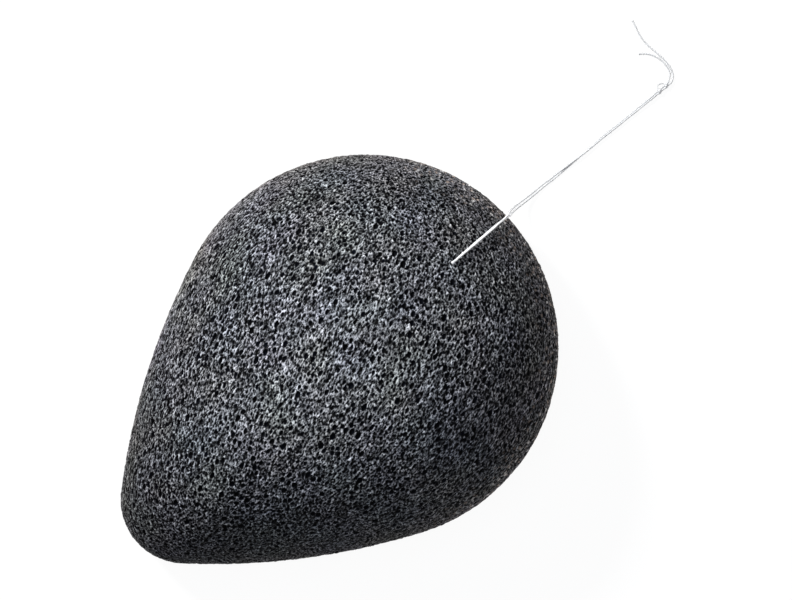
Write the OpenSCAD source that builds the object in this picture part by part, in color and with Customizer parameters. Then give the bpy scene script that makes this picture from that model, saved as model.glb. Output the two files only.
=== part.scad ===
// Konjac sponge: a drop-shaped foam dome on a flat back, with a doubled thread that is sewn through it,
// lies over its broad end and is knotted to itself. The tip points to -X, the broad end to +X.

/* [Sponge] */
// Length of the drop, from its tip to its broad end
body_l = 85; // [78:1:110]
// Radius of the broad end, seen from above
broad_r = 33.3; // [28:0.1:38]
// Radius of the narrow tip, seen from above
tip_r = 11; // [8:1:16]
// Radius of the long, slightly bowed flanks, seen from above
flank_r = 120; // [90:5:300]
// Height of the crown above the flat back
crown_h = 35; // [28:1:42]
// Place of the crown, ahead of the drop's middle
crown_x = 6; // [0:1:12]
// Fullness of the dome: 2 is an ellipse, and more has steeper sides
dome_bulge = 2.15; // [1.8:0.05:2.6]
// Height of the rounded rim, where the side turns under to the back
rim_h = 5; // [3:0.5:8]
// How far the rounded rim draws the back in from the widest outline
rim_in = 4; // [1:0.5:6]

/* [Thread] */
// Thickness of the thread
thread_d = 0.32; // [0.2:0.02:0.34]
// Room between the thread and the foam that it runs through, all round
thread_room = 0.05; // [0.02:0.01:0.1]

/* [Mouth and stitch] */
// Distance of the thread's mouth in from the broad end
mouth_in = 12.9; // [8.5:0.1:20.5]
// Place of the mouth, to the left of the drop's axis
mouth_y = 1.6; // [-4:0.2:4]
// Radius of the dimple that the thread draws into the foam at its mouth
mouth_r = 0.8; // [0.6:0.1:1.5]
// How deep the buried thread stops below the skin, where the free loop takes over
stitch_depth = 0.2; // [0.1:0.05:0.5]
// Length of foam that the stitch catches at the back
stitch_w = 5; // [2:0.5:10]
// Depth of the groove that keeps the stitch off the table, measured to the thread
stitch_sink = 0.15; // [0.05:0.05:0.4]

/* [Knot] */
// Length of the knotted stretch
knot_l = 2.7; // [2.4:0.1:4]
// Gap between the middles of the two threads that run through the knot
knot_gap = 0.38; // [0.36:0.02:0.5]
// Radius of the first turns, to the middle of the thread
first_turn_r = 0.32; // [0.26:0.02:0.34]
// Radius of the second turns, to the middle of the thread
second_turn_r = 0.28; // [0.22:0.02:0.34]
// Place of the first turns along the knot
first_turn_x = 0.7; // [0.5:0.1:1]
// Place of the second turns along the knot
second_turn_x = 2.2; // [1.8:0.1:2.3]
// Step between the two turns of a pair
turn_step = 0.2; // [0.1:0.05:0.3]
// Lean of each turn, in degrees
turn_lean = 18; // [5:1:30]

/* [Hidden] */

charcoal = [0.24, 0.25, 0.27];
cotton = [0.93, 0.93, 0.91];
$fn = 32;

// Extra length that lets a cutter pass the face it opens
overrun = 1;

// The outline is four arcs, each tangent to the next: broad end, flank, tip and flank
broad_x = body_l / 2 - broad_r;
tip_x = tip_r - body_l / 2;
flank_to_broad = flank_r - broad_r;
flank_to_tip = flank_r - tip_r;
tip_to_broad = broad_x - tip_x;
flank_x = broad_x - (pow(flank_to_broad, 2) - pow(flank_to_tip, 2) + pow(tip_to_broad, 2))
          / (2 * tip_to_broad);
flank_y = sqrt(pow(flank_to_broad, 2) - pow(flank_x - broad_x, 2));
broad_turn = atan2(flank_y, broad_x - flank_x);
tip_turn = atan2(flank_y, tip_x - flank_x);

// Steps round each arc, and rings up the rim and the dome
broad_steps = 28;
flank_steps = 8;
tip_steps = 12;
rim_rings = 4;
dome_rings = 16;

arcs = [
    [[broad_x, 0], broad_r, -broad_turn, broad_turn, broad_steps],
    [[flank_x, -flank_y], flank_r, broad_turn, tip_turn, flank_steps],
    [[tip_x, 0], tip_r, tip_turn, 360 - tip_turn, tip_steps],
    [[flank_x, flank_y], flank_r, 360 - tip_turn, 360 - broad_turn, flank_steps]
];

function arc_points(arc, inset) = [
    for (i = [0 : arc[4] - 1])
        let (turn = arc[2] + (arc[3] - arc[2]) * i / arc[4])
        arc[0] + (arc[1] - inset) * [cos(turn), sin(turn)]
];

// The outline as a loop of points, drawn in parallel to itself by the inset
function outline(inset) = [for (arc = arcs) each arc_points(arc, inset)];

// The rim turns under as a quarter ellipse. The dome's rings draw in towards the crown.
function rim_ring(k) =
    let (turn = 90 * k / rim_rings)
    [for (p = outline(rim_in * (1 - sin(turn)))) [p.x, p.y, rim_h * (1 - cos(turn))]];

function dome_ring(k) =
    let (turn = 90 * k / dome_rings,
         reach = pow(cos(turn), 2 / dome_bulge),
         rise = pow(sin(turn), 2 / dome_bulge))
    [for (p = outline(0))
        [crown_x + reach * (p.x - crown_x), reach * p.y, rim_h + rise * (crown_h - rim_h)]];

// Height of the dome over a place on the axis ahead of the crown
function dome_height(x) =
    let (reach = (x - crown_x) / (body_l / 2 - crown_x))
    rim_h + (crown_h - rim_h) * pow(1 - pow(reach, dome_bulge), 1 / dome_bulge);

// Triangles of a stack of rings of n points each, closed to a point below and a point above
function band_faces(rings, n) = [
    for (k = [0 : rings - 2], i = [0 : n - 1])
        let (a = k * n + i, b = k * n + (i + 1) % n)
        each [[a, b + n, b], [a, a + n, b + n]]
];
function fan_faces(first, n, tip, up) = [
    for (i = [0 : n - 1])
        let (a = first + i, b = first + (i + 1) % n)
        up ? [a, tip, b] : [b, tip, a]
];

mouth_x = body_l / 2 - mouth_in;
mouth = [mouth_x, mouth_y, dome_height(mouth_x)];
stitch_top = mouth - [0, 0, stitch_depth];
stitch_z = stitch_sink + thread_d / 2;
stitch_left = [mouth_x, mouth_y + stitch_w / 2, stitch_z];
stitch_right = [mouth_x, mouth_y - stitch_w / 2, stitch_z];

// Route of the doubled thread, from the mouth over the broad end to the knot. Each row holds the middle of
// the pair, half the gap between the two threads, and how far the pair is twisted: 0 is side by side with
// the left thread to +Y, 90 is the left thread on top.
pair_route = [
    [30.15, 1.60, 28.94, 0.19, 75],
    [32.12, 1.62, 27.60, 0.19, 85],
    [34.01, 1.63, 25.95, 0.19, 90],
    [35.80, 1.64, 24.21, 0.19, 95],
    [37.40, 1.65, 22.27, 0.19, 95],
    [38.79, 1.66, 20.28, 0.19, 90],
    [39.98, 1.66, 18.14, 0.19, 80],
    [40.98, 1.64, 15.95, 0.19, 60],
    [41.78, 1.62, 13.71, 0.19, 40],
    [42.33, 1.62, 11.32, 0.19, 20],
    [42.75, 1.64, 8.90, 0.20, 0],
    [43.10, 1.70, 6.50, 0.25, 0],
    [43.70, 1.78, 4.40, 0.33, 0],
    [44.80, 1.82, 2.60, 0.36, 0],
    [46.30, 1.76, 1.30, 0.35, 0],
    [48.30, 1.70, 0.60, 0.34, 0],
    [50.60, 1.70, 0.30, 0.31, 0],
    [52.90, 1.60, 0.22, 0.26, 0],
    [55.20, 1.55, 0.30, 0.21, 25],
    [57.50, 1.51, 0.38, 0.19, 65],
    [59.80, 1.47, 0.38, 0.19, 100],
    [62.20, 1.51, 0.34, 0.19, 130],
    [64.60, 1.50, 0.31, 0.19, 140],
    [67.00, 1.41, 0.31, 0.19, 142],
    [69.40, 1.38, 0.31, 0.19, 142],
    [71.80, 1.31, 0.35, 0.19, 145],
    [73.80, 1.29, 0.45, 0.19, 155],
    [75.10, 1.27, 0.52, 0.19, 170],
    [76.20, 1.27, 0.52, 0.19, 180]
];
knot_start = [76.2, 1.27, 0.52];

// Routes of the two cut ends, from the knot
long_route = [
    [78.90, 1.08, 0.52],
    [79.40, 1.10, 0.46],
    [79.90, 1.32, 0.37],
    [80.35, 1.72, 0.28],
    [80.70, 2.25, 0.21],
    [80.92, 2.90, 0.19],
    [81.04, 3.70, 0.19],
    [81.08, 4.60, 0.19],
    [81.00, 5.60, 0.19],
    [80.85, 6.55, 0.19],
    [80.68, 7.50, 0.19],
    [80.54, 8.40, 0.19],
    [80.46, 9.30, 0.19],
    [80.46, 10.20, 0.19],
    [80.58, 11.10, 0.19],
    [80.77, 11.95, 0.19],
    [80.99, 12.75, 0.19],
    [81.20, 13.70, 0.19]
];
short_route = [
    [78.90, 1.46, 0.52],
    [79.20, 1.58, 0.47],
    [79.60, 1.86, 0.38],
    [80.00, 2.16, 0.29],
    [80.30, 2.55, 0.22],
    [80.51, 3.10, 0.19],
    [80.64, 3.80, 0.19],
    [80.66, 4.55, 0.19],
    [80.58, 5.25, 0.19],
    [80.40, 5.95, 0.19],
    [80.13, 6.60, 0.19],
    [79.80, 7.18, 0.19],
    [79.38, 7.68, 0.19],
    [78.90, 8.12, 0.19],
    [78.30, 8.52, 0.19]
];

thread_sides = 8;

function unit(v) = v / norm(v);
function spot(row) = [row.x, row.y, row.z];

// Direction of a route at each of its points
function heading(points, i) = unit(points[min(i + 1, len(points) - 1)] - points[max(i - 1, 0)]);

// Route of one thread of the pair: side is 1 for the left one and -1 for the right one
function strand_points(side) =
    let (middles = [for (row = pair_route) spot(row)])
    [for (i = [0 : len(pair_route) - 1])
        let (along = heading(middles, i),
             off = unit([-along.z, 0, along.x]),
             twist = pair_route[i][4])
        middles[i] + side * pair_route[i][3] * (cos(twist) * [0, 1, 0] + sin(twist) * off)];

// A thread swept along points. No point's heading may lie along the reference direction.
module thread_tube(points, reference) {
    rings = len(points);
    ring_points = [
        for (i = [0 : rings - 1])
            let (along = heading(points, i),
                 across = unit(cross(reference, along)),
                 upward = cross(along, across))
            for (k = [0 : thread_sides - 1])
                let (turn = 360 * k / thread_sides)
                points[i] + thread_d / 2 * (cos(turn) * across + sin(turn) * upward)
    ];
    last = (rings - 1) * thread_sides;
    polyhedron(
        concat(ring_points, [points[0], points[rings - 1]]),
        concat(band_faces(rings, thread_sides),
               fan_faces(0, thread_sides, last + thread_sides, false),
               fan_faces(last, thread_sides, last + thread_sides + 1, true)));
}

// A straight round rod between two points
module rod(from, to, d) {
    way = to - from;
    translate(from)
        rotate([0, acos(way.z / norm(way)), atan2(way.y, way.x)])
            cylinder(h = norm(way), d = d);
}

// The buried thread's way: down one leg, across the back and up the other leg
module stitch_way(d) {
    for (foot = [stitch_left, stitch_right]) {
        rod(foot, stitch_top, d);
        translate(foot) sphere(d = d);
    }
    rod(stitch_right, stitch_left, d);
}

// The needle's channels, the groove across the back and the dimple at the mouth
module stitch_channels() {
    channel_d = thread_d + 2 * thread_room;
    stitch_way(channel_d);
    translate([mouth_x - channel_d / 2, mouth_y - stitch_w / 2, -overrun])
        cube([channel_d, stitch_w, stitch_z + overrun]);
    translate(mouth) sphere(r = mouth_r);
}

module sponge_dome() {
    n = len(outline(0));
    rings = concat([for (k = [0 : rim_rings]) rim_ring(k)],
                   [for (k = [1 : dome_rings - 1]) dome_ring(k)]);
    top = len(rings) * n;
    polyhedron(
        concat([for (ring = rings) each ring], [[crown_x, 0, crown_h], [crown_x, 0, 0]]),
        concat(band_faces(len(rings), n),
               fan_faces(top - n, n, top, true),
               fan_faces(0, n, top + 1, false)));
}

module sponge_body() {
    color(charcoal)
        difference() {
            sponge_dome();
            stitch_channels();
        }
}

module thread_stitch() {
    color(cotton) stitch_way(thread_d);
}

module strand_left() {
    color(cotton) thread_tube(strand_points(1), [0, 1, 0]);
}

module strand_right() {
    color(cotton) thread_tube(strand_points(-1), [0, 1, 0]);
}

// Two leaning turns of thread, side by side round the pair
module turn_pair(r) {
    for (side = [-1, 1])
        translate([side * turn_step / 2, 0, 0])
            rotate([0, 90 + side * turn_lean, 0])
                rotate_extrude()
                    translate([r, 0]) circle(d = thread_d);
}

module loop_knot() {
    color(cotton)
        translate(knot_start) {
            for (side = [-1, 1])
                translate([0, side * knot_gap / 2, 0])
                    rotate([0, 90, 0]) cylinder(h = knot_l, d = thread_d);
            translate([first_turn_x, 0, 0]) turn_pair(first_turn_r);
            translate([second_turn_x, 0, 0]) turn_pair(second_turn_r);
        }
}

module tail_long() {
    color(cotton) thread_tube(long_route, [0, 0, 1]);
}

module tail_short() {
    color(cotton) thread_tube(short_route, [0, 0, 1]);
}

sponge_body();
thread_stitch();
strand_left();
strand_right();
loop_knot();
tail_long();
tail_short();
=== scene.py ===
import math
import random

import bmesh
import bpy
from mathutils import Euler, Matrix, Vector, kdtree, noise


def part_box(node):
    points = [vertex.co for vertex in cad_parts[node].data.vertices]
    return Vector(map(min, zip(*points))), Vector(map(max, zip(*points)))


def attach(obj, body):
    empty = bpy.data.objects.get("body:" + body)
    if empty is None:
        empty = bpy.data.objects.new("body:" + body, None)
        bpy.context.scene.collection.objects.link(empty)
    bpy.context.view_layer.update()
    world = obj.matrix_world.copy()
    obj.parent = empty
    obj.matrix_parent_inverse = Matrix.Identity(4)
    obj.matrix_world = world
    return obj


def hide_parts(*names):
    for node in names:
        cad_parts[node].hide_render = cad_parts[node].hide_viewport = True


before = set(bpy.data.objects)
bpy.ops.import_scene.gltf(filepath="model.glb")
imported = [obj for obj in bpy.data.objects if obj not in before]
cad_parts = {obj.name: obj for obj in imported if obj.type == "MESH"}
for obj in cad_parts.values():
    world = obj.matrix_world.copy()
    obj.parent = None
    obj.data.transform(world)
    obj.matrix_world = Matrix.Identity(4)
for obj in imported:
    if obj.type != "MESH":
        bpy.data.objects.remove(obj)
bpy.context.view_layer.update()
foam_low, foam_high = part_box("sponge_body")
scene = bpy.context.scene
scene.view_settings.view_transform = "Standard"

# The camera looks straight down on the dome, as the photograph does, with the drop's tip to the lower
# left. The picture's width is measured at the height of the sponge's widest line.
picture_width = 0.1366
picture_middle = Vector((0.0185, 0.0029))
camera_height = 0.6
widest_line = 0.005
drop_slant = math.radians(40)
camera_data = bpy.data.cameras.new("camera")
camera_data.lens = camera_data.sensor_width * (camera_height - widest_line) / picture_width
camera = bpy.data.objects.new("camera", camera_data)
camera.location = (*picture_middle, camera_height)
camera.rotation_euler = Euler((0, 0, -drop_slant))
scene.collection.objects.link(camera)
scene.camera = camera


# The foam body is konjac root jelly, blackened with charcoal, frothed and cast in a drop-shaped mould.
# Its skin is cut through by round bubbles, so the mesh holds real pores, and a value on each point
# says how deep in a pore it lies.
drop_length = foam_high.x - foam_low.x
crown_height = foam_high.z
broad_radius, tip_radius, flank_radius = 0.0333, 0.011, 0.120
crown_x = 0.006
dome_bulge = 2.15
rim_height, rim_inset = 0.005, 0.004
broad_x = drop_length / 2 - broad_radius
tip_x = tip_radius - drop_length / 2
to_broad, to_tip = flank_radius - broad_radius, flank_radius - tip_radius
apart = broad_x - tip_x
flank_x = broad_x - (to_broad**2 - to_tip**2 + apart**2) / (2 * apart)
flank_y = math.sqrt(to_broad**2 - (flank_x - broad_x) ** 2)
broad_turn = math.atan2(flank_y, broad_x - flank_x)
tip_turn = math.atan2(flank_y, tip_x - flank_x)


def edge_of_drop(turn, inset):
    """The outline's point whose outward direction is turn: on the broad arc, a flank or the tip arc."""
    if abs(turn) < broad_turn:
        middle, radius = Vector((broad_x, 0)), broad_radius
    elif abs(turn) > tip_turn:
        middle, radius = Vector((tip_x, 0)), tip_radius
    else:
        middle, radius = Vector((flank_x, -math.copysign(flank_y, turn))), flank_radius
    return middle + (radius - inset) * Vector((math.cos(turn), math.sin(turn)))


def cast_drop(around=240, rim_rings=6, dome_rings=44):
    """The smooth casting, before its pores: one ring pulled up the rim and drawn in over the dome."""
    drop = bmesh.new()
    turn_of = drop.verts.layers.float.new("turn")
    for vert in bmesh.ops.create_circle(drop, segments=around, radius=1)["verts"]:
        vert[turn_of] = math.atan2(vert.co.y, vert.co.x)
        vert.co = (*edge_of_drop(vert[turn_of], rim_inset), 0)
    bmesh.ops.contextual_create(drop, geom=drop.edges[:])
    edges = drop.edges[:]
    for ring in range(1, rim_rings + dome_rings):
        risen = bmesh.ops.extrude_edge_only(drop, edges=edges)["geom"]
        edges = [e for e in risen if isinstance(e, bmesh.types.BMEdge)]
        rim = min(ring / rim_rings, 1) * math.pi / 2
        dome = max(ring - rim_rings, 0) / dome_rings * math.pi / 2
        reach = math.cos(dome) ** (2 / dome_bulge)
        height = rim_height * (1 - math.cos(rim))
        height += (crown_height - rim_height) * math.sin(dome) ** (2 / dome_bulge)
        for vert in {v for e in edges for v in e.verts}:
            x, y = edge_of_drop(vert[turn_of], rim_inset * (1 - math.sin(rim)))
            vert.co = (crown_x + reach * (x - crown_x), reach * y, height)
    bmesh.ops.contextual_create(drop, geom=edges)
    bmesh.ops.recalc_face_normals(drop, faces=drop.faces)
    mesh = bpy.data.meshes.new("foam_body")
    drop.to_mesh(mesh)
    drop.free()
    return mesh


def applied(thing):
    """The thing with its modifiers made part of its mesh."""
    made = bpy.data.meshes.new_from_object(thing.evaluated_get(bpy.context.evaluated_depsgraph_get()))
    made.name = thing.name
    thing.modifiers.clear()
    thing.data = made
    return thing


foam = bpy.data.objects.new("foam_body", cast_drop())
scene.collection.objects.link(foam)
remesh = foam.modifiers.new("fine_skin", "REMESH")
remesh.mode = "VOXEL"
remesh.voxel_size = 0.00015
applied(foam)

# Bubbles by radius, and how many there are to a square centimetre of skin
bubble_sizes = [(0.00035, 7), (0.00029, 18), (0.00023, 42), (0.00018, 90), (0.00013, 170), (0.00010, 150)]
bubble_seed = 5
# A radius varies by the first share either way, and grows by up to the second down the steep sides
bubble_spread, side_growth = 0.2, 0.45
# Two bubbles keep a wall between them or run into each other, by up to this much
wall_between = 0.00009
# No later bubble reaches in from further out than this many radii
felt_radii = 2.2
# The foam is drawn out along the mould, and the flecks of its colour, painted glints and shade, still more
drawn_turn = math.radians(25)
drawn_way = Vector((math.cos(drawn_turn), math.sin(drawn_turn), 0))
drawn_out, fleck_drawn_out = 1.6, 2.4
# The bubbles are not quite round, and the skin between them is lumpy
roundness_lost, lump_length = 0.00014, 0.0006
lump_height, lump_spacing = 0.00015, 0.0008
deepest = 0.0004
# The thread's mouth is a small dimple, and its stitch lies in a groove across the back
mouth = Vector((0.0296, 0.0016, 0.0288))
dimple_radius, dimple_depth = 0.0011, 0.0005
groove_half_width, groove_half_length, groove_depth = 0.00025, 0.0025, 0.00046


def undrawn(place):
    """Where a place lay before the foam was drawn out."""
    return place - drawn_way * place.dot(drawn_way) * (1 - 1 / drawn_out)


def blow_bubbles(skin):
    """How deep each point of the skin lies in a bubble. The largest bubbles take their places first."""
    chance = random.Random(bubble_seed)
    # Without a seed, noise_vector takes its offset from the clock
    noise.seed_set(bubble_seed)
    places = []
    tree = kdtree.KDTree(len(skin.vertices))
    for vert in skin.vertices:
        places.append(undrawn(vert.co) + noise.noise_vector(vert.co / lump_length) * roundness_lost)
        tree.insert(places[-1], vert.index)
    tree.balance()
    square_centimetres = sum(f.area for f in skin.polygons) * 1e4
    room = [1.0] * len(places)
    depth = [0.0] * len(places)
    for radius, wanted in bubble_sizes:
        made = 0
        for index in chance.sample(range(len(places)), len(places)):
            if made > wanted * square_centimetres:
                break
            height = skin.vertices[index].co.z
            steep = min(1 - height / crown_height, height / rim_height)
            size = radius * chance.uniform(1 - bubble_spread, 1 + bubble_spread)
            size *= 1 + side_growth * steep
            if room[index] < size + wall_between * chance.uniform(-1, 1):
                continue
            made += 1
            for _, other, gap in tree.find_range(places[index], felt_radii * size + wall_between):
                room[other] = min(room[other], gap - size)
                if gap < size:
                    depth[other] = max(depth[other], math.sqrt(size**2 - gap**2))
    return depth


def cut_pores(skin):
    """Moves each point of the skin in to its bubble's far wall and keeps the depth for the pores' painted
    shade.
    """
    depths = blow_bubbles(skin)
    outwards = [v.normal.copy() for v in skin.vertices]
    pore = skin.attributes.new("pore", "FLOAT", "POINT")
    for vert, depth, outward in zip(skin.vertices, depths, outwards):
        pore.data[vert.index].value = min(depth / deepest, 1)
        pull = max(1 - (vert.co - mouth).length / dimple_radius, 0)
        across, along = abs(vert.co.x - mouth.x), abs(vert.co.y - mouth.y)
        if vert.co.z < groove_half_width and across < groove_half_width and along < groove_half_length:
            depth = groove_depth
        else:
            depth += lump_height * (0.5 + noise.noise(undrawn(vert.co) / lump_spacing))
        vert.co -= outward * (depth + dimple_depth * pull**0.5)
        vert.co.z = max(vert.co.z, 0)


cut_pores(foam.data)
for face in foam.data.polygons:
    face.use_smooth = True


def new_material(name):
    """A material with its nodes, its links and its surface."""
    material = bpy.data.materials.new(name)
    material.use_nodes = True
    tree = material.node_tree
    return material, tree.nodes, tree.links, tree.nodes["Principled BSDF"]


def ranged(nodes, links, value, low, high, to_low=0, to_high=1):
    """The value, with its span from low to high stretched to run from to_low to to_high and no further."""
    spread = nodes.new("ShaderNodeMapRange")
    spread.inputs["From Min"].default_value = low
    spread.inputs["From Max"].default_value = high
    spread.inputs["To Min"].default_value = to_low
    spread.inputs["To Max"].default_value = to_high
    links.new(value, spread.inputs["Value"])
    return spread.outputs["Result"]


def product(nodes, links, first, second):
    """Two values multiplied."""
    both = nodes.new("ShaderNodeMath")
    both.operation = "MULTIPLY"
    links.new(first, both.inputs[0])
    links.new(second, both.inputs[1])
    return both.outputs["Value"]


def dimmed(nodes, links, colour, share):
    """A colour scaled by a value."""
    scaled = nodes.new("ShaderNodeVectorMath")
    scaled.operation = "SCALE"
    links.new(colour, scaled.inputs[0])
    links.new(share, scaled.inputs["Scale"])
    return scaled.outputs["Vector"]


def tinted(nodes, links, colour, tint):
    """A colour multiplied by a tint."""
    shaded = nodes.new("ShaderNodeVectorMath")
    shaded.operation = "MULTIPLY"
    links.new(colour, shaded.inputs[0])
    links.new(tint, shaded.inputs[1])
    return shaded.outputs["Vector"]


def graded(nodes, links, value, stops):
    """The value as a colour that blends from stop to stop, each of them a position and its colour."""
    ramp = nodes.new("ShaderNodeValToRGB")
    links.new(value, ramp.inputs["Fac"])
    marks = ramp.color_ramp.elements
    marks[0].position, marks[0].color = stops[0]
    marks[1].position, marks[1].color = stops[-1]
    for position, colour in stops[1:-1]:
        marks.new(position).color = colour
    return ramp.outputs["Color"]


def mottled(nodes, links, place, scale, detail, roughness=0.5):
    """Soft noise over the place. The larger its scale, the smaller its spots."""
    spots = nodes.new("ShaderNodeTexNoise")
    spots.inputs["Scale"].default_value = scale
    spots.inputs["Detail"].default_value = detail
    spots.inputs["Roughness"].default_value = roughness
    links.new(place, spots.inputs["Vector"])
    return spots


def bumped(nodes, links, surface, height, distance):
    """Gives the surface a fine relief that follows the height."""
    bump = nodes.new("ShaderNodeBump")
    bump.inputs["Distance"].default_value = distance
    links.new(height, bump.inputs["Height"])
    links.new(bump.outputs["Normal"], surface.inputs["Normal"])


def charcoal_foam():
    """Bluish grey charcoal foam. Painted shade blackens its pores, painted light pales its crown and rim.
    """
    material, nodes, links, surface = new_material("charcoal_foam")
    surface.inputs["Roughness"].default_value = 0.5
    surface.inputs["Specular IOR Level"].default_value = 0.02
    pore = nodes.new("ShaderNodeAttribute")
    pore.attribute_name = "pore"
    # Painted shade: the colour darkens from the skin to near black the deeper a point lies in its pore
    skin_to_painted_pore_shade = [
        (0, (0.250, 0.256, 0.278, 1)),
        (0.16, (0.094, 0.097, 0.107, 1)),
        (0.32, (0.0068, 0.0072, 0.0092, 1)),
        (0.55, (0.0004, 0.0007, 0.0018, 1)),
    ]
    shade = graded(nodes, links, pore.outputs["Fac"], skin_to_painted_pore_shade)
    # Pale and dark flecks, drawn out the same way as the bubbles, are painted glints and shade of the cell
    # walls
    place = nodes.new("ShaderNodeTexCoord").outputs["Object"]
    drawn = nodes.new("ShaderNodeMapping")
    drawn.vector_type = "TEXTURE"
    drawn.inputs["Rotation"].default_value = (0, 0, drawn_turn)
    drawn.inputs["Scale"].default_value = (fleck_drawn_out, 1, 1)
    links.new(place, drawn.inputs["Vector"])
    fleck = mottled(nodes, links, drawn.outputs["Vector"], 2400, 2, 0.7).outputs["Fac"]
    glint_and_shade_gain = ranged(nodes, links, fleck, 0.40, 0.70, 0.02, 3.5)
    patch = mottled(nodes, links, drawn.outputs["Vector"], 1000, 1).outputs["Fac"]
    patchy = ranged(nodes, links, patch, 0.3, 0.7, 0.6, 1.4)
    flecked_with_glints = dimmed(nodes, links, shade, product(nodes, links, glint_and_shade_gain, patchy))
    # Painted light by height: paler at the crown, darker on the band above the rim, as light falls on the
    # dome
    height = nodes.new("ShaderNodeSeparateXYZ")
    links.new(place, height.inputs["Vector"])
    up_the_side = nodes.new("ShaderNodeMath")
    up_the_side.operation = "DIVIDE"
    up_the_side.inputs[1].default_value = crown_height
    links.new(height.outputs["Z"], up_the_side.inputs[0])
    # The rim's warm tint is its own colour, its paleness painted light
    rim_to_crown = [
        (0.30, (0.54, 0.50, 0.475, 1)),
        (0.50, (0.475, 0.464, 0.455, 1)),
        (0.74, (0.545, 0.545, 0.545, 1)),
        (0.98, (0.72, 0.72, 0.72, 1)),
    ]
    painted_light_by_height = graded(nodes, links, up_the_side.outputs["Value"], rim_to_crown)
    # Painted shade darkens the tip
    painted_tip_shade = ranged(nodes, links, height.outputs["X"], -0.040, -0.014, 0.6, 1)
    toned = tinted(nodes, links, flecked_with_glints, dimmed(nodes, links, painted_light_by_height, painted_tip_shade))
    # A faint cast wanders between reddish and bluish over the skin
    tint = mottled(nodes, links, place, 110, 1).outputs["Color"]
    cast = nodes.new("ShaderNodeVectorMath")
    cast.operation = "MULTIPLY_ADD"
    cast.inputs[1].default_value = (0.20, 0, 0.30)
    cast.inputs[2].default_value = (0.9, 1.01, 0.835)
    links.new(tint, cast.inputs[0])
    skin_colour = tinted(nodes, links, toned, cast.outputs["Vector"])
    # Brown and pale crumbs cling to the rim of the broad end
    crumb = nodes.new("ShaderNodeTexVoronoi")
    crumb.inputs["Scale"].default_value = 800
    links.new(place, crumb.inputs["Vector"])
    crumb_size = ranged(nodes, links, crumb.outputs["Distance"], 0.20, 0.32, 1, 0)
    on_the_rim = ranged(nodes, links, up_the_side.outputs["Value"], 0.30, 0.60, 1, 0)
    outwards = nodes.new("ShaderNodeVectorMath")
    outwards.operation = "DOT_PRODUCT"
    outwards.inputs[1].default_value = (0.8, -0.6, 0)
    links.new(place, outwards.inputs[0])
    broad_end = ranged(nodes, links, outwards.outputs["Value"], 0.012, 0.026)
    crumbs = product(nodes, links, crumb_size, product(nodes, links, on_the_rim, broad_end))
    brown_to_pale = [(0.60, (0.50, 0.41, 0.35, 1)), (0.68, (1, 0.98, 0.95, 1))]
    crumb_colour = graded(nodes, links, crumb.outputs["Color"], brown_to_pale)
    speckled = nodes.new("ShaderNodeMix")
    speckled.data_type = "RGBA"
    links.new(crumbs, speckled.inputs[0])
    links.new(skin_colour, speckled.inputs[6])
    links.new(crumb_colour, speckled.inputs[7])
    links.new(speckled.outputs[2], surface.inputs["Base Color"])
    bumped(nodes, links, surface, fleck, 0.00018)
    return material


foam.data.materials.append(charcoal_foam())
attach(foam, "sponge")
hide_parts("sponge_body")


# The thread is white three-ply sewing thread. One length is drawn through the foam, doubled, and tied to
# itself, and this section makes its two free strands, each with its own cut end past the knot.
ply_count = 3
ply_radius = 0.000124
ply_offset = 0.000036
twist_length = 0.0008
step_along = 0.00009
fray_length, fray_spread, fray_thinning = 0.0007, 3, 0.35
# A loose fibre leaves the thread about this often, this far out and for this long a run
fibre_radius = 0.000006
fibre_every = 0.0002
fibre_reach = 0.00018
fibre_runs = (0.0002, 0.0007)
fibre_arc = 2.2
thread_exit = Vector((0.0298, 0.0016, 0.0291))
exit_half_gap = 0.0001
# Middle of the pair, half the gap between its two threads, and the pair's twist in degrees
pair_route = [
    (0.03015, 0.00160, 0.02894, 0.00016, 90),
    (0.03212, 0.00162, 0.02760, 0.00016, 105),
    (0.03401, 0.00163, 0.02595, 0.00016, 115),
    (0.03580, 0.00164, 0.02421, 0.00016, 118),
    (0.03740, 0.00165, 0.02227, 0.00016, 118),
    (0.03879, 0.00166, 0.02028, 0.00016, 115),
    (0.03998, 0.00166, 0.01814, 0.00016, 105),
    (0.04098, 0.00164, 0.01595, 0.00016, 85),
    (0.04178, 0.00162, 0.01371, 0.00016, 60),
    (0.04233, 0.00162, 0.01132, 0.00016, 30),
    (0.04275, 0.00164, 0.00890, 0.00020, 0),
    (0.04310, 0.00170, 0.00650, 0.00023, 0),
    (0.04370, 0.00178, 0.00440, 0.00025, 0),
    (0.04480, 0.00182, 0.00260, 0.00026, 0),
    (0.04630, 0.00176, 0.00130, 0.00025, 0),
    (0.04830, 0.00170, 0.00060, 0.00023, 0),
    (0.05060, 0.00170, 0.00030, 0.00021, 0),
    (0.05290, 0.00160, 0.00022, 0.00019, 0),
    (0.05520, 0.00155, 0.00030, 0.00017, 25),
    (0.05750, 0.00151, 0.00038, 0.00016, 65),
    (0.05980, 0.00147, 0.00038, 0.00016, 100),
    (0.06220, 0.00151, 0.00034, 0.00016, 130),
    (0.06460, 0.00150, 0.00031, 0.00016, 140),
    (0.06700, 0.00141, 0.00031, 0.00016, 142),
    (0.06940, 0.00138, 0.00031, 0.00016, 142),
    (0.07180, 0.00131, 0.00035, 0.00016, 145),
    (0.07380, 0.00129, 0.00045, 0.00016, 155),
    (0.07510, 0.00127, 0.00052, 0.00016, 170),
    (0.07620, 0.00127, 0.00052, 0.00016, 180),
]
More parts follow.
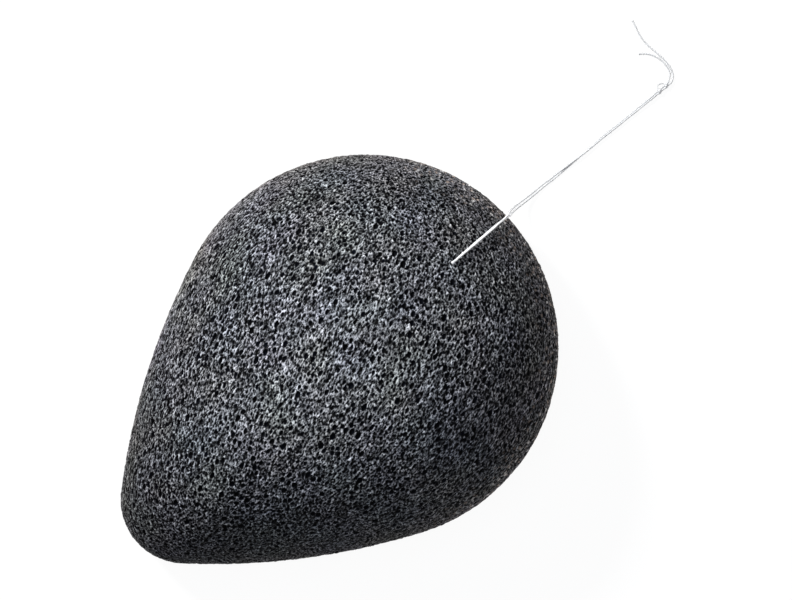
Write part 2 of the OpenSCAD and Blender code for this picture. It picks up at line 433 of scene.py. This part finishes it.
long_end = [
    (0.07890, 0.00108, 0.00052),
    (0.07940, 0.00110, 0.00046),
    (0.07990, 0.00132, 0.00037),
    (0.08035, 0.00172, 0.00028),
    (0.08070, 0.00225, 0.00021),
    (0.08092, 0.00290, 0.00019),
    (0.08104, 0.00370, 0.00019),
    (0.08108, 0.00460, 0.00019),
    (0.08100, 0.00560, 0.00019),
    (0.08085, 0.00655, 0.00019),
    (0.08068, 0.00750, 0.00019),
    (0.08054, 0.00840, 0.00019),
    (0.08046, 0.00930, 0.00019),
    (0.08046, 0.01020, 0.00019),
    (0.08058, 0.01110, 0.00019),
    (0.08077, 0.01195, 0.00019),
    (0.08099, 0.01275, 0.00019),
    (0.08120, 0.01370, 0.00019),
]
short_end = [
    (0.07890, 0.00146, 0.00052),
    (0.07920, 0.00158, 0.00047),
    (0.07960, 0.00186, 0.00038),
    (0.08000, 0.00216, 0.00029),
    (0.08030, 0.00255, 0.00022),
    (0.08051, 0.00310, 0.00019),
    (0.08064, 0.00380, 0.00019),
    (0.08066, 0.00455, 0.00019),
    (0.08058, 0.00525, 0.00019),
    (0.08040, 0.00595, 0.00019),
    (0.08013, 0.00660, 0.00019),
    (0.07980, 0.00718, 0.00019),
    (0.07938, 0.00768, 0.00019),
    (0.07890, 0.00812, 0.00019),
    (0.07830, 0.00852, 0.00019),
]


def smooth_line(points):
    """The even curve through the points, sampled at step_along."""
    points = [Vector(p) for p in points]
    ends = [points[0] * 2 - points[1], *points, points[-1] * 2 - points[-2]]
    line = []
    for a, b, c, d in zip(ends, ends[1:], ends[2:], ends[3:]):
        count = max(round((c - b).length / step_along), 1)
        for k in range(count):
            t = k / count
            bend = (2 * a - 5 * b + 4 * c - d) * t**2 + (3 * b - a - 3 * c + d) * t**3
            line.append(b + ((c - a) * t + bend) / 2)
    return [*line, points[-1]]


def length_of(line):
    return sum((b - a).length for a, b in zip(line, line[1:]))


def loose_fibre(place, heading, side, chance):
    """A fibre that has worked its way out of the thread and lies back along it in a low arc."""
    out = Matrix.Rotation(chance.uniform(0, 2 * math.pi), 3, heading) @ side
    over = heading.cross(out) * chance.uniform(-1, 1)
    reach = fibre_reach * chance.uniform(0.2, 1)
    run = chance.uniform(*fibre_runs) * chance.choice((-1, 1))
    points = []
    for share in (0, 0.25, 0.5, 0.75, 1):
        rise = ply_radius + reach * math.sin(share * fibre_arc)
        points.append(place + heading * run * share + out * rise + over * reach * share**2)
        points[-1].z = max(points[-1].z, fibre_radius)
    return points


def ply_thread(name, line, frayed=False, plies=ply_count):
    """Plies wound round the line, one curve each, made a mesh. They open out where the end is frayed."""
    chance = random.Random(name)
    curve = bpy.data.curves.new(name, "CURVE")
    curve.dimensions = "3D"
    curve.bevel_depth = ply_radius
    curve.bevel_resolution = 1
    curve.use_fill_caps = True
    headings = [(b - a).normalized() for a, b in zip(line, line[1:])]
    headings.append(headings[-1])
    side = headings[0].orthogonal().normalized()
    sides = []
    for heading in headings:
        side = (side - heading * side.dot(heading)).normalized()
        sides.append(side)
    whole = length_of(line)
    for ply in range(plies):
        spline = curve.splines.new("POLY")
        spline.points.add(len(line) - 1)
        gone = 0
        for index, place in enumerate(line):
            gone += (place - line[max(index - 1, 0)]).length
            wind = 2 * math.pi * (gone / twist_length + ply / ply_count)
            off = Matrix.Rotation(wind, 3, headings[index]) @ sides[index]
            open_end = max(1 - (whole - gone) / fray_length, 0) * frayed
            off *= ply_offset * (1 + fray_spread * open_end**2) * (plies > 1)
            off.z = max(off.z, ply_radius - place.z)
            spline.points[index].co = (*(place + off), 1)
            spline.points[index].radius = 1 - fray_thinning * open_end
    for _ in range(round(whole / fibre_every)):
        index = chance.randrange(len(line))
        fibre = curve.splines.new("POLY")
        points = loose_fibre(line[index], headings[index], sides[index], chance)
        fibre.points.add(len(points) - 1)
        for point, place in zip(fibre.points, points):
            point.co = (*place, 1)
            point.radius = fibre_radius / ply_radius
    drawn = bpy.data.objects.new(name + "_drawn", curve)
    scene.collection.objects.link(drawn)
    mesh = bpy.data.meshes.new_from_object(drawn)
    mesh.name = name
    bpy.data.objects.remove(drawn)
    thread = bpy.data.objects.new(name, mesh)
    scene.collection.objects.link(thread)
    return thread


def cotton_thread():
    """White cotton, faintly uneven, with the pale edges of a fine fuzz. Painted shade greys it near the
    table.
    """
    material, nodes, links, surface = new_material("cotton_thread")
    surface.inputs["Roughness"].default_value = 0.5
    surface.inputs["Specular IOR Level"].default_value = 1
    surface.inputs["Sheen Weight"].default_value = 0.8
    surface.inputs["Sheen Roughness"].default_value = 0.4
    place = nodes.new("ShaderNodeTexCoord").outputs["Object"]
    fibre = mottled(nodes, links, place, 9000, 2).outputs["Fac"]
    grey_to_white = [(0.3, (0.84, 0.845, 0.84, 1)), (0.7, (0.93, 0.935, 0.93, 1))]
    shade = graded(nodes, links, fibre, grey_to_white)
    height = nodes.new("ShaderNodeSeparateXYZ")
    links.new(place, height.inputs["Vector"])
    # Painted shade: the thread is greyer the nearer it lies to the table
    painted_shade_near_table = ranged(nodes, links, height.outputs["Z"], 0.002, 0.012, 0.6, 1)
    links.new(dimmed(nodes, links, shade, painted_shade_near_table), surface.inputs["Base Color"])
    bumped(nodes, links, surface, fibre, 0.00002)
    return material


cotton = cotton_thread()


def strand_line(side):
    """Where one thread of the pair runs: side is 1 for the left one and -1 for the right one."""
    middles = [Vector(row[:3]) for row in pair_route]
    line = [thread_exit + Vector((0, side * exit_half_gap, 0))]
    for index, (middle, row) in enumerate(zip(middles, pair_route)):
        heading = middles[min(index + 1, len(middles) - 1)] - middles[max(index - 1, 0)]
        above = Vector((-heading.z, 0, heading.x)).normalized()
        twist = math.radians(row[4])
        across = math.cos(twist) * Vector((0, 1, 0)) + math.sin(twist) * above
        line.append(middle + side * row[3] * across)
    return line


left_line = smooth_line([*strand_line(1), *long_end])
right_line = smooth_line([*strand_line(-1), *short_end])
left_strand = ply_thread("left_strand", left_line, frayed=True)
right_strand = ply_thread("right_strand", right_line, frayed=True)
for strand in (left_strand, right_strand):
    strand.data.materials.append(cotton)
    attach(strand, "loop")
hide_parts("strand_left", "tail_long")
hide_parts("strand_right", "tail_short")


# The knot is an overhand knot and a second one beside it, both tied in the doubled thread and pulled
# tight, so all that shows is two pairs of turns round the strands.
knot_start = Vector((0.0762, 0.00127, 0.00052))
turn_radii = [(0.0007, 0.00032), (0.0022, 0.00028)]
turn_gap = 0.0002
turns = 2.4
turn_lean, lean_phase = 0.5, 1
turn_steps = 24
# Share of the turns over which each end is tucked in, and how far in it goes
tuck, tucked_in = 0.15, 0.25
# One ply stands out in a small slack loop between the two
slack_ply = [
    (0.07685, 0.00140, 0.00070),
    (0.07690, 0.00185, 0.00060),
    (0.07730, 0.00222, 0.00045),
    (0.07785, 0.00218, 0.00045),
    (0.07830, 0.00180, 0.00055),
    (0.07845, 0.00135, 0.00065),
]


def knot_turns(along, radius):
    """Turns of thread round the strands, leaning with the way they are wound, with both ends tucked in."""
    count = round(turns * turn_steps)
    line = []
    for k in range(count + 1):
        way = k / count
        turn = 2 * math.pi * turns * way
        out = radius * min(1, min(way, 1 - way) / tuck + tucked_in)
        lean = turn_gap * (2 * way - 1) + turn_lean * out * math.sin(turn + lean_phase)
        line.append(knot_start + Vector((along + lean, out * math.cos(turn), out * math.sin(turn))))
    return line


knot_parts = [ply_thread("knot", knot_turns(*each)) for each in turn_radii]
knot_parts.append(ply_thread("slack_ply", smooth_line(slack_ply), plies=1))
knot = knot_parts[0]
with bpy.context.temp_override(active_object=knot, selected_editable_objects=knot_parts):
    bpy.ops.object.join()
knot.data.materials.append(cotton)
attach(knot, "loop")
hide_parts("loop_knot")


# The stitch is the buried stretch of the same thread. It runs down from the mouth to the back, catches a
# few millimetres of foam in a shallow groove and comes up again at the mouth.
stitch_half_width = 0.0025
stitch_height = 0.00031
corner = 0.0004


def stitch_leg(side):
    """One leg, from the mouth down to where it turns into the groove."""
    top = thread_exit + Vector((0, side * exit_half_gap, 0))
    foot = Vector((mouth.x, mouth.y + side * stitch_half_width, stitch_height))
    skin = mouth + Vector((0, side * exit_half_gap, 0))
    way = foot - skin
    shares = [0, 0.03, 0.2, 0.4, 0.6, 0.8, 0.95, 1 - corner / way.length]
    return [top, *[skin + way * share for share in shares], foot - Vector((0, side * corner, 0))]


stitch = ply_thread("stitch", smooth_line([*stitch_leg(-1), *reversed(stitch_leg(1))]))
stitch.data.materials.append(cotton)
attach(stitch, "sponge")
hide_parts("thread_stitch")


# The sponge lies on a plain white table, which the camera sees as white but for the soft shadow. The rest
# of what it shows is its own lit surface, with the shadow.
table_white = 1.03
shown_share = 0.92


def shown_white(nodes, links):
    """1 where the camera sees a thing, straight on or in a gloss or a clear thing, and 0 to its light."""
    sees = nodes.new("ShaderNodeLightPath")
    mirrored = nodes.new("ShaderNodeMath")
    mirrored.operation = "MAXIMUM"
    links.new(sees.outputs["Is Glossy Ray"], mirrored.inputs[0])
    links.new(sees.outputs["Is Transmission Ray"], mirrored.inputs[1])
    either = nodes.new("ShaderNodeMath")
    either.operation = "MAXIMUM"
    links.new(sees.outputs["Is Camera Ray"], either.inputs[0])
    links.new(mirrored.outputs["Value"], either.inputs[1])
    return either.outputs["Value"]


def white_table():
    """Matt white, shown to the camera mostly by its own white."""
    material, nodes, links, surface = new_material("white_table")
    surface.inputs["Base Color"].default_value = (0.85, 0.85, 0.85, 1)
    surface.inputs["Roughness"].default_value = 0.9
    white = nodes.new("ShaderNodeEmission")
    white.inputs["Strength"].default_value = table_white
    share = nodes.new("ShaderNodeMath")
    share.operation = "MULTIPLY"
    share.inputs[1].default_value = shown_share
    links.new(shown_white(nodes, links), share.inputs[0])
    mix = nodes.new("ShaderNodeMixShader")
    links.new(share.outputs["Value"], mix.inputs["Fac"])
    links.new(surface.outputs["BSDF"], mix.inputs[1])
    links.new(white.outputs["Emission"], mix.inputs[2])
    links.new(mix.outputs["Shader"], nodes["Material Output"].inputs["Surface"])
    return material


table_reach = 1.5
table_drop = 0.00002
top = bmesh.new()
bmesh.ops.create_grid(top, x_segments=1, y_segments=1, size=table_reach)
bmesh.ops.translate(top, verts=top.verts, vec=(0, 0, -table_drop))
table_mesh = bpy.data.meshes.new("table")
top.to_mesh(table_mesh)
top.free()
table = bpy.data.objects.new("table", table_mesh)
table_mesh.materials.append(white_table())
scene.collection.objects.link(table)


# A soft lamp stands at the upper left of the picture. A wide one overhead, a low warm card on the other
# side and dim pale surroundings fill its shadows.
def soft_lamp(name, turn, height, distance, width, level, colour=(1, 1, 1)):
    """A square lamp aimed at the sponge. Level 1 shows a colour as bright as it is written."""
    data = bpy.data.lights.new(name, "AREA")
    data.color = colour
    data.size = width
    data.energy = level * (math.pi * distance) ** 2
    lamp = bpy.data.objects.new(name, data)
    away = Euler((0, -math.radians(height), math.radians(turn))).to_matrix() @ Vector((distance, 0, 0))
    lamp.location = Vector((0, 0, crown_height / 2)) + away
    lamp.rotation_euler = away.to_track_quat("Z", "Y").to_euler()
    scene.collection.objects.link(lamp)


soft_lamp("key", turn=92, height=36, distance=0.7, width=0.12, level=1.6)
soft_lamp("overhead", turn=90, height=78, distance=0.9, width=0.5, level=0.35, colour=(0.88, 0.95, 1.12))
soft_lamp("warm_card", turn=-35, height=8, distance=0.6, width=0.3, level=0.13, colour=(1.1, 0.97, 0.88))
surroundings = 0.08
world = bpy.data.worlds.new("surroundings")
world.use_nodes = True
scene.world = world
sky, sky_links = world.node_tree.nodes, world.node_tree.links
strength = sky.new("ShaderNodeMapRange")
strength.inputs["To Min"].default_value = surroundings
sky_links.new(shown_white(sky, sky_links), strength.inputs["Value"])
sky["Background"].inputs["Color"].default_value = (1, 1, 1, 1)
sky_links.new(strength.outputs["Result"], sky["Background"].inputs["Strength"])
